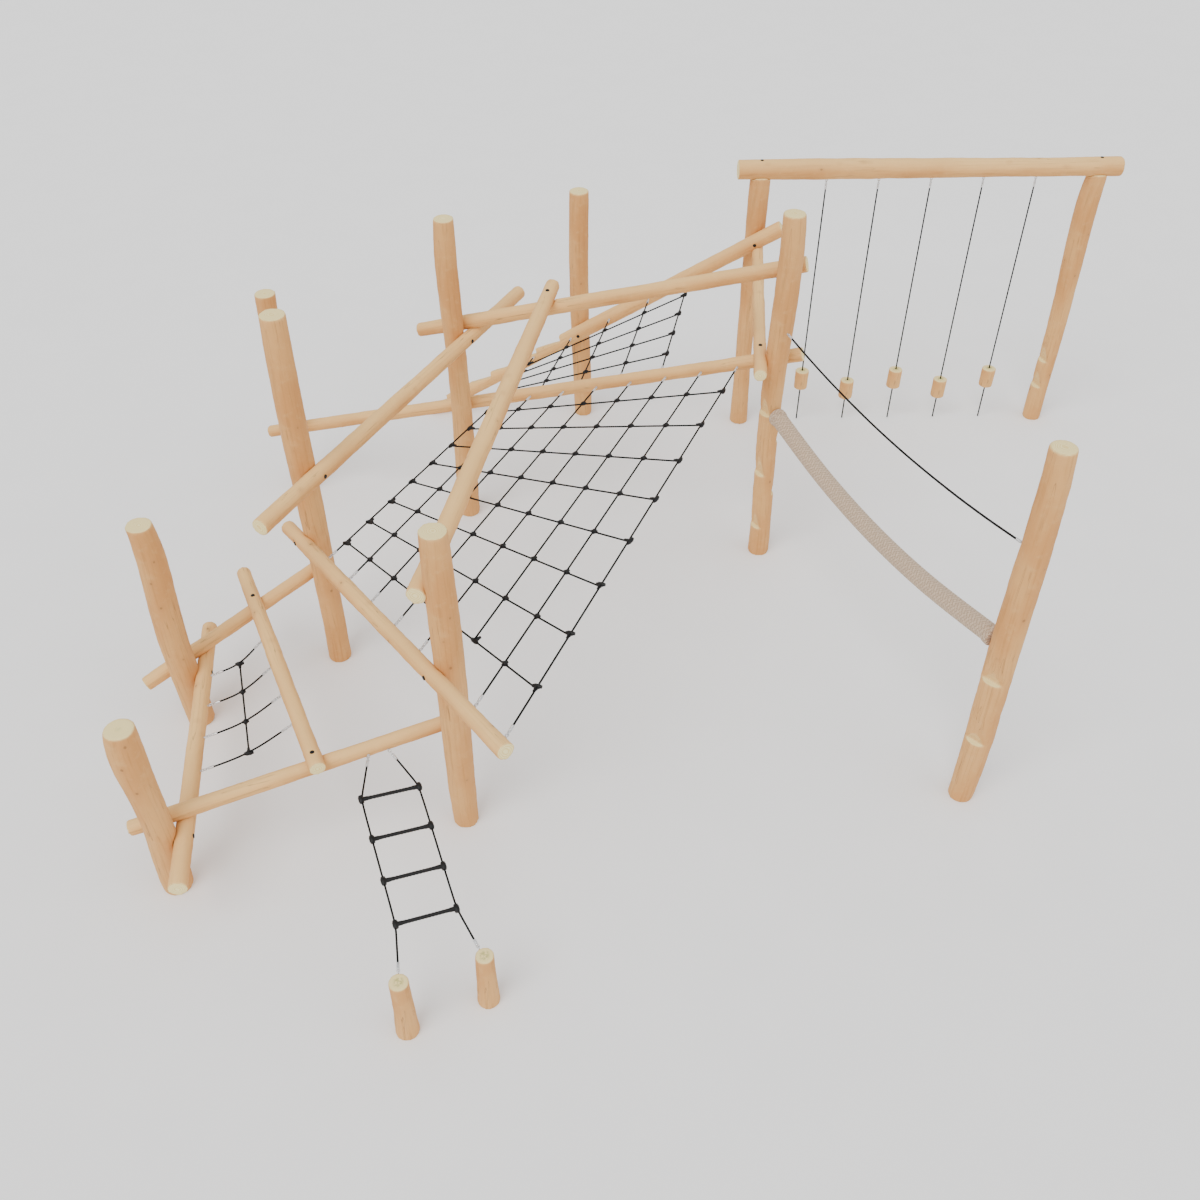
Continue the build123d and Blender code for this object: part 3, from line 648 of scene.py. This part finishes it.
def sleeve_master():
    """Ring about X at the origin and the pressed sleeve above it, with its three bites."""
    radius = SLEEVE_D / 2
    low, high = RING_R, RING_R + SLEEVE_L
    rings = [(0.0065, low - 0.003), (radius * 0.80, low), (radius, low + 0.004)]
    for bite in (0.25, 0.50, 0.75):
        middle = low + SLEEVE_L * bite
        rings += [(radius, middle - 0.0045), (radius * 0.88, middle - 0.0025),
                  (radius * 0.88, middle + 0.0025), (radius, middle + 0.0045)]
    rings += [(radius, high - 0.002), (radius * 0.86, high)]
    return settled("sleeve", [wire_ring(RING_R, RING_WIRE), smooth(turned(rings, 16), 35)])


def eyes(node, master):
    """Eye screws: each has its ring at its short end and its shank in the wood."""
    copies = []
    for solid in solids_of(node):
        shank = solid.tail(solid.axes[0])
        ring_end = solid.reach(shank)[0] + EYE_R + EYE_WIRE / 2
        copies.append(stand(copied(master), solid.middle + shank * ring_end, -shank, solid.axes[2]))
    return settled(node + "_turned", copies)


def sleeves(node, master):
    """Sleeves: each has its ring at its long end."""
    copies = []
    for solid in solids_of(node):
        ring = solid.tail(solid.axes[0])
        ring_end = solid.reach(ring)[1] - RING_R - RING_WIRE / 2
        copies.append(stand(copied(master), solid.middle + ring * ring_end, -ring, solid.axes[2]))
    return settled(node + "_pressed", copies)


def links(node, master):
    copies = []
    for solid in solids_of(node):
        copies.append(stand(copied(master), solid.middle, solid.axes[0], solid.axes[2]))
    return settled(node + "_bent", copies)


def fittings():
    eye = eye_master()
    sleeve = sleeve_master()
    link = wire_ring(LINK_R, LINK_WIRE, LINK_LENGTH - 2 * LINK_R)
    fitted(eyes("eye_screws", eye), "eye_screws", "steel_fittings", STEEL)
    fitted(links("chain_links", link), "chain_links", "steel_fittings", STEEL)
    for node in sorted(frame["nodes"]):
        if node.endswith(("_sleeve", "_sleeves")):
            fitted(sleeves(node, sleeve), node, "steel_fittings", STEEL)
        elif node.endswith("_link"):
            fitted(links(node, link), node, "steel_fittings", STEEL)
    for master in (eye, sleeve, link):
        bpy.data.objects.remove(master)


def bolt_caps():
    """Domed caps, their round side away from the bolt."""
    dome = smooth(turned([
        (CAP_D / 2 - 0.001, CAP_PROUD - CAP_T), (CAP_D / 2, CAP_PROUD - CAP_T + 0.001),
        (CAP_D / 2, CAP_PROUD - 0.003), (CAP_D / 2 - 0.0025, CAP_PROUD - 0.0008),
        (CAP_D / 3, CAP_PROUD), (CAP_D / 8, CAP_PROUD + 0.0005),
    ], 24), 40)
    rods = [rod.middle for rod in solids_of("bolt_rods")]
    copies = []
    for cap in solids_of("bolt_caps"):
        way = cap.axes[2]
        rod = min(rods, key=lambda middle: (middle - cap.middle).length)
        way = way if way.dot(cap.middle - rod) > 0 else -way
        face = cap.middle + way * (CAP_T / 2 - CAP_PROUD)
        copies.append(stand(copied(dome), face, way, way.orthogonal()))
    fitted(settled("bolt_caps_domed", copies), "bolt_caps", "black_plastic", BLACK_PLASTIC)
    bpy.data.objects.remove(dome)
    steel = frame["nodes"]["bolt_rods"]
    steel.data.materials.clear()
    steel.data.materials.append(STEEL)


# ---------------------------------------------------------------- ropes
def risen(outline, length, steps, turn):
    """Closed tube from an outline that goes up along Z and turns on its way."""
    shaped(outline, "SCREW", angle=turn, screw_offset=length, steps=steps, render_steps=steps,
           use_smooth_shade=True)
    open_up(outline)
    bpy.ops.mesh.fill_holes(sides=0)
    close_up()
    return outward(outline)


def strand_tube(length, diameter):
    """Laid rope along Z from the origin: a round of lobes, turned as it rises."""
    bpy.ops.object.select_all(action="DESELECT")
    bpy.ops.mesh.primitive_circle_add(vertices=2 * STRANDS, radius=diameter / 2)
    piece = bpy.context.object
    choose(piece, lambda vertex: vertex.index % 2)
    bpy.ops.transform.resize(value=(GROOVE, GROOVE, 1), center_override=(0, 0, 0))
    close_up()
    steps = max(4, round(length / ROPE_STEP))
    return risen(piece, length, steps, 2 * math.pi * length / (LAY * diameter))


def straight_rope(a, b):
    way = b - a
    return stand(strand_tube(way.length, ROPE_D), a, way, way.orthogonal())


def smooth_line(points):
    """The line that a rope follows, with these points as its control points."""
    data = bpy.data.curves.new("line", "CURVE")
    data.dimensions = "3D"
    data.resolution_u = LINE_STEPS
    spline = data.splines.new("NURBS")
    spline.points.add(len(points) - 1)
    for control, place in zip(spline.points, points):
        control.co = (*place, 1)
    spline.order_u = 3
    spline.use_endpoint_u = True
    line = bpy.data.objects.new("line", data)
    scene.collection.objects.link(line)
    return line


def points_of(line):
    mesh = bpy.data.meshes.new_from_object(line)
    return [vertex.co.copy() for vertex in mesh.vertices]


def length_of(points):
    return sum((b - a).length for a, b in zip(points, points[1:]))


def laid_rope(points, diameter):
    """Laid rope along a smooth line; gives the rope and the points that it follows."""
    line = smooth_line(points)
    followed = points_of(line)
    piece = strand_tube(length_of(followed), diameter)
    shaped(piece, "CURVE", object=line, deform_axis="POS_Z")
    bpy.data.objects.remove(line)
    return piece, followed


def hanging(a, b, sag, runs):
    """Points of a line that sags from a to b."""
    points = []
    for step in range(runs + 1):
        share = step / runs
        points.append(a.lerp(b, share) - Z * (4 * sag * share * (1 - share)))
    return points


def nets():
    """Taut nets; gives the ends of each straight rope for the connectors."""
    lines = []
    for node in ("net_long_bay", "net_ramp_bay"):
        ropes = [solid.ends() for solid in solids_of(node)]
        lines += ropes
        piece = settled(node + "_ropes", [straight_rope(a, b) for a, b in ropes])
        fitted(piece, node, "black_rope", BLACK_ROPE)
    return lines


def slack_net():
    """Four short slack ropes and the straight one that ties them underneath."""
    *slack, spine = sorted(solids_of("net_slack"), key=lambda solid: length_of(solid.ends()))
    copies = [straight_rope(*spine.ends())]
    for solid in slack:
        start, stop = rope_ends(solid, solid.axes[0])
        copies.append(laid_rope(hanging(start, stop, SLACK_SAG, SLACK_RUNS), ROPE_D)[0])
    piece = settled("net_slack_ropes", copies)
    fitted(piece, "net_slack", "black_rope", BLACK_ROPE)
    return [spine.ends()]


# ---------------------------------------------------------------- moulded pieces
def ball_master():
    """Clamped ball about Z with four necks, for ropes that cross along X and Y."""
    r = BALL_D / 2
    ball = turned([
        (0.30 * r, -0.86 * r), (0.62 * r, -0.78 * r), (0.90 * r, -0.45 * r), (r, -0.06 * r),
        (0.93 * r, -0.02 * r), (0.93 * r, 0.02 * r), (r, 0.06 * r), (0.90 * r, 0.45 * r),
        (0.62 * r, 0.78 * r), (0.30 * r, 0.86 * r),
    ], 16)
    parts = [smooth(ball, 40)]
    for angle in (0, math.pi / 2):
        neck = turned([
            (0.0080, -1.28 * r), (0.0108, -1.26 * r), (0.0118, -0.7 * r),
            (0.0118, 0.7 * r), (0.0108, 1.26 * r), (0.0080, 1.28 * r),
        ], 12)
        way = Vector((math.cos(angle), math.sin(angle), 0))
        parts.append(stand(smooth(neck, 40), ORIGIN, way, Z))
    return settled("ball", parts)


def tee_master():
    """Moulded T: its body along Z, its arm along X."""
    body_r, arm_r, half = TEE_D / 2, TEE_ARM_D / 2, TEE_L / 2
    body = turned([
        (0.0085, -half), (0.013, -half + 0.001), (0.014, -half + 0.010), (body_r, -half + 0.019),
        (body_r, half - 0.019), (0.014, half - 0.010), (0.013, half - 0.001), (0.0085, half),
    ], 16)
    arm = turned([
        (arm_r, 0.0), (arm_r, TEE_ARM_L * 0.55), (arm_r * 0.78, TEE_ARM_L * 0.72),
        (arm_r * 0.78, TEE_ARM_L - 0.003), (arm_r * 0.6, TEE_ARM_L),
    ], 14)
    stand(smooth(arm, 40), ORIGIN, X, Z)
    return settled("tee", [smooth(body, 40), arm])


def nearest_lines(lines, place, count):
    """Directions of the lines that pass nearest to a place."""
    def gap(line):
        a, b = line
        share = max(0, min(1, (place - a).dot(b - a) / (b - a).length_squared))
        return (a.lerp(b, share) - place).length
    return [(b - a).normalized() for a, b in sorted(lines, key=gap)[:count]]


def connectors(lines):
    """A ball where two ropes cross, and a T where one ends on another."""
    ball, tee = ball_master(), tee_master()
    copies = []
    for solid in solids_of("net_connectors"):
        first, second = nearest_lines(lines, solid.middle, 2)
        low, high = solid.reach(solid.axes[0])
        if high - low < BALL_D * 1.2:
            middle = solid.middle
            copies.append(stand(copied(ball), middle, first.cross(second), first))
            continue
        arms = {}
        for way in (first, second, solid.axes[2].cross(first)):
            tail = solid.tail(way)
            low, high = solid.reach(tail)
            arms[high + low] = (tail, low)
        arm, low = arms[max(arms)]
        body = arm.cross(solid.axes[2])
        centre = solid.middle + arm * (low + TEE_D / 2)
        copies.append(stand(copied(tee), centre, body, arm))
    piece = settled("net_connectors_moulded", copies)
    fitted(piece, "net_connectors", "black_plastic", BLACK_PLASTIC)
    for master in (ball, tee):
        bpy.data.objects.remove(master)


def rung_master(width):
    """Ribbed bar along X between two clamps that hold ropes running along Z."""
    half = width / 2
    bar_r, clamp_r, tall = RUNG_D / 2, CLAMP_D / 2, CLAMP_L / 2
    rings = [(bar_r * 1.15, -half), (bar_r * 1.15, -half + 0.045), (bar_r, -half + 0.055)]
    ribs = 12
    for rib in range(ribs):
        middle = -half + 0.075 + (width - 0.15) * (rib + 0.5) / ribs
        rings += [(bar_r, middle - 0.007), (bar_r * 0.90, middle - 0.004),
                  (bar_r * 0.90, middle + 0.004), (bar_r, middle + 0.007)]
    rings += [(bar_r, half - 0.055), (bar_r * 1.15, half - 0.045), (bar_r * 1.15, half)]
    parts = [stand(smooth(turned(rings, 18), 40), ORIGIN, X, Z)]
    for side in (-1, 1):
        clamp = turned([
            (0.0090, -tall), (clamp_r * 0.80, -tall + 0.001), (clamp_r * 0.86, -tall + 0.010),
            (clamp_r, -tall + 0.014), (clamp_r, tall - 0.014), (clamp_r * 0.86, tall - 0.010),
            (clamp_r * 0.80, tall - 0.001), (0.0090, tall),
        ], 18)
        parts.append(stand(smooth(clamp, 40), X * (side * half), Z, X))
    return settled("rung", parts)


def ladder():
    """Four rungs on two side ropes, each rope from a log's sleeve to a stump's."""
    rungs = sorted(solids_of("ladder_rungs"), key=lambda solid: -solid.middle.z)
    across = rungs[0].axes[0]
    low, high = rungs[0].reach(across)
    width = high - low - CLAMP_D
    master = rung_master(width)
    down = (rungs[-1].middle - rungs[0].middle).normalized()
    copies = [stand(copied(master), rung.middle, down, across) for rung in rungs]
    fitted(settled("ladder_rungs_moulded", copies), "ladder_rungs", "black_plastic", BLACK_PLASTIC)
    bpy.data.objects.remove(master)

    ropes = []
    for solid in solids_of("ladder_ropes"):
        side = 1 if (solid.middle - rungs[0].middle).dot(across) > 0 else -1
        top = rungs[0].middle + across * (side * width / 2)
        bottom = rungs[-1].middle + across * (side * width / 2)
        start, stop = rope_ends(solid, down)
        hold = CLAMP_L / 2
        route = [start, start.lerp(top, 0.5), top + (start - top).normalized() * hold]
        route += [top + down * hold, top.lerp(bottom, 0.5), bottom - down * hold]
        route += [bottom + (stop - bottom).normalized() * hold, bottom.lerp(stop, 0.5), stop]
        ropes.append(laid_rope(route, ROPE_D)[0])
    fitted(settled("ladder_ropes_laid", ropes), "ladder_ropes", "black_rope", BLACK_ROPE)


def rope_ends(solid, way):
    """Middles of the two cut ends of a rope that runs roughly along way."""
    along = (solid.points - np.array(solid.middle)) @ np.array(way)
    first = solid.points[along < along.min() + ROPE_D / 2].mean(0)
    last = solid.points[along > along.max() - ROPE_D / 2].mean(0)
    return Vector(first), Vector(last)


# ---------------------------------------------------------------- hanging ropes
def step_ropes():
    """Five ropes that hang from the top log, each through its step block."""
    for number in range(1, 6):
        tag = "swing_" + str(number)
        low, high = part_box(tag + "_rope")
        middle = (low + high) / 2
        top = Vector((middle.x, middle.y, high.z))
        foot = Vector((middle.x, middle.y, low.z))
        route = [top, top - Z * PLUMB, foot + Z * PLUMB, foot]
        piece, followed = laid_rope(route, ROPE_D)
        piece = settled(tag + "_rope_laid", [piece])
        fitted(piece, tag + "_rope", "black_rope", BLACK_ROPE)
        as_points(followed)


def hand_rope():
    """Thin rope to hold on to, from post to post above the balance rope."""
    solid = solids_of("hand_rope")[0]
    start, stop = rope_ends(solid, solid.axes[0])
    route = [start.lerp(stop, share) - Z * drop for share, drop in HAND_ROUTE]
    piece, followed = laid_rope(route, HAND_ROPE_D)
    piece = settled("hand_rope_laid", [piece])
    fitted(piece, "hand_rope", "black_rope", BLACK_ROPE)
    length_of(followed)
    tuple(start)
    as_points(followed)


# ---------------------------------------------------------------- balance rope
def braid_map(piece):
    """Braid coordinates around and along a round piece that still stands on the origin."""
    mesh = piece.data
    points = read(mesh.vertices, "co", 3)
    corners = read(mesh.loops, "vertex_index", 1).astype(int)
    around = (np.arctan2(points[:, 1], points[:, 0]) / (2 * math.pi) % 1.0)[corners]
    starts = read(mesh.polygons, "loop_start", 1).astype(int)
    most = np.maximum.reduceat(around, starts)
    counts = read(mesh.polygons, "loop_total", 1).astype(int)
    around += (np.repeat(most, counts) - around > 0.5)
    places = np.column_stack((around, points[corners, 2] / BRAID_LAY)) * BRAID_AROUND
    layer = mesh.uv_layers.new(name="braid")
    layer.data.foreach_set("uv", places.ravel().astype(np.float32))


def collar_master():
    """Cuff of the same braid about Z, folded over at the rope's end."""
    r = COLLAR_D / 2
    cuff = turned([
        (r * 0.60, 0), (r * 0.90, 0.0010), (r * 0.975, 0.0055), (r, 0.0130), (r, 0.0440),
        (r * 0.955, 0.0470), (r * 0.955, 0.0490), (r * 0.985, 0.0520), (r * 0.975, 0.0580),
        (r * 0.930, 0.0625), (r * 0.800, COLLAR_L),
    ], 64)
    braid_map(cuff)
    return smooth(cuff, 50)


def balance_rope():
    """Thick braided rope to walk on, with a cuff at each end."""
    collars = solids_of("balance_collars")
    middles = [collar.middle for collar in collars]
    way = (middles[1] - middles[0]).normalized()
    master = collar_master()
    cuffs = []
    for middle, out in ((middles[0], way), (middles[1], -way)):
        cuffs.append(stand(copied(master), middle - out * (COLLAR_L / 2), out, out.orthogonal()))
    fitted(settled("balance_collars_braided", cuffs), "balance_collars", "braided_rope", BRAID)
    bpy.data.objects.remove(master)

    hold = COLLAR_L * COLLAR_HOLD
    line = smooth_line(hanging(middles[0] + way * hold, middles[1] - way * hold,
                               BALANCE_SAG, BALANCE_RUNS))
    length = length_of(points_of(line))
    bpy.ops.object.select_all(action="DESELECT")
    bpy.ops.mesh.primitive_circle_add(vertices=64, radius=BALANCE_D / 2)
    tube = bpy.context.object
    risen(tube, length, round(length / BRAID_STEP), 0)
    braid_map(tube)
    shaped(tube, "CURVE", object=line, deform_axis="POS_Z")
    bpy.data.objects.remove(line)
    fitted(settled("balance_rope_braided", [tube]), "balance_rope", "braided_rope", BRAID)


# ---------------------------------------------------------------- camera, light and floor
def studio():
    data = bpy.data.cameras.new("camera")
    data.lens = CAMERA_LENS
    data.sensor_width = CAMERA_SENSOR
    data.clip_end = CAMERA_REACH
    camera = bpy.data.objects.new("camera", data)
    camera.location = CAMERA_AT
    camera.rotation_euler = (math.radians(CAMERA_TILT), 0, 0)
    scene.collection.objects.link(camera)
    scene.camera = camera

    bpy.ops.object.select_all(action="DESELECT")
    bpy.ops.mesh.primitive_plane_add(size=FLOOR_SIZE)
    floor = bpy.context.object
    floor.name = "floor"
    chalk = Finish("floor_chalk", Roughness=0.9, Specular_IOR_Level=0.1)
    tone = chalk.noise(chalk.place(), scale=1.5, detail=2)
    chalk.colour(chalk.mix(tone, paint(247, 247, 247), paint(252, 252, 252)))
    floor.data.materials.append(chalk.material)

    sky = bpy.data.worlds.new("soft_sky")
    sky.use_nodes = True
    glow = sky.node_tree.nodes["Background"].inputs
    glow["Color"].default_value = (1, 1, 1, 1)
    glow["Strength"].default_value = SKY_STRENGTH
    scene.world = sky
    for name, energy, spread, turn in LAMPS:
        lamp = bpy.data.lights.new(name, "SUN")
        lamp.energy = energy
        lamp.angle = math.radians(spread)
        light = bpy.data.objects.new(name, lamp)
        light.rotation_euler = [math.radians(angle) for angle in turn]
        scene.collection.objects.link(light)


studio()
timber()
fittings()
bolt_caps()
connectors(nets() + slack_net())
ladder()
step_ropes()
hand_rope()
balance_rope()
